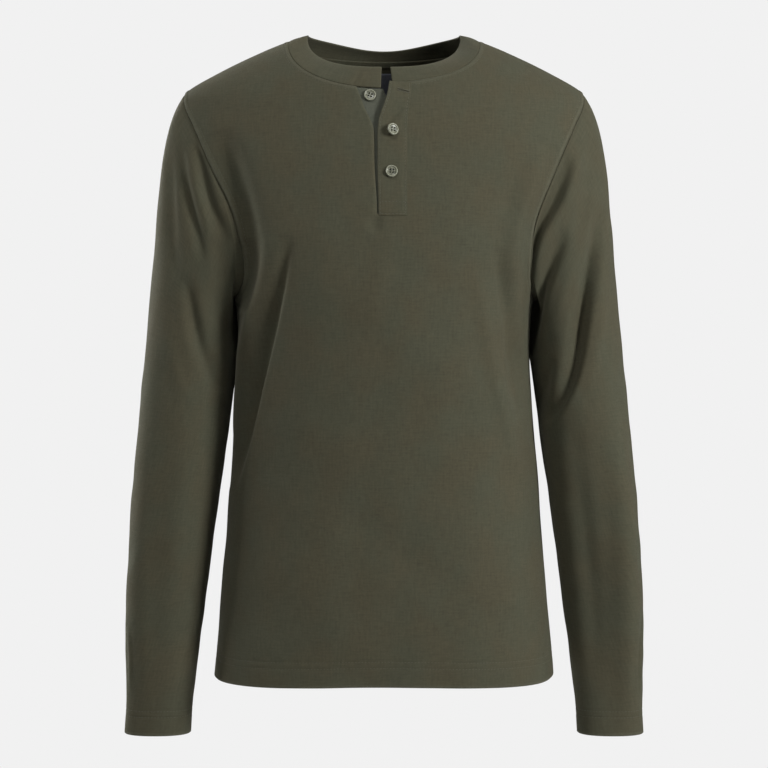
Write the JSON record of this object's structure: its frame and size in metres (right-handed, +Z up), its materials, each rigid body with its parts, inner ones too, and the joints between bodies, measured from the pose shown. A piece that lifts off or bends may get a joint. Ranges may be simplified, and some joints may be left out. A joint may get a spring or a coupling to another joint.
{
  "type": "henley shirt",
  "caption": "Long-sleeved jersey henley with a band neck, a short buttoned placket and plain stitched hems, filled out in its worn form",
  "frame": {"origin": "on the centre line between the two high points of the neckband, at their level, where the shirt hangs from the wearer's shoulders", "axes": "+Z up along the shirt's length, -Y out of its front, +X towards the wearer's left sleeve"},
  "size_m": [0.5504, 0.2425, 0.7451],
  "materials": {
    "jersey": "dark olive cotton jersey, matte with a slight nap",
    "band_jersey": "grey-green inner face of the same jersey, matte",
    "label_cloth": "plain dark woven label, bare",
    "button_resin": "marbled grey-green resin, half gloss"
  },
  "bodies": {
    "root": {"front_body": "jersey", "back_body": "jersey", "sleeve_left": "jersey", "sleeve_right": "jersey", "neckband": "jersey", "placket_over": "jersey", "placket_under": "band_jersey", "neck_tape": "band_jersey", "neck_label": "label_cloth", "button_top": "button_resin", "button_middle": "button_resin", "button_bottom": "button_resin"}
  },
  "joints": []
}
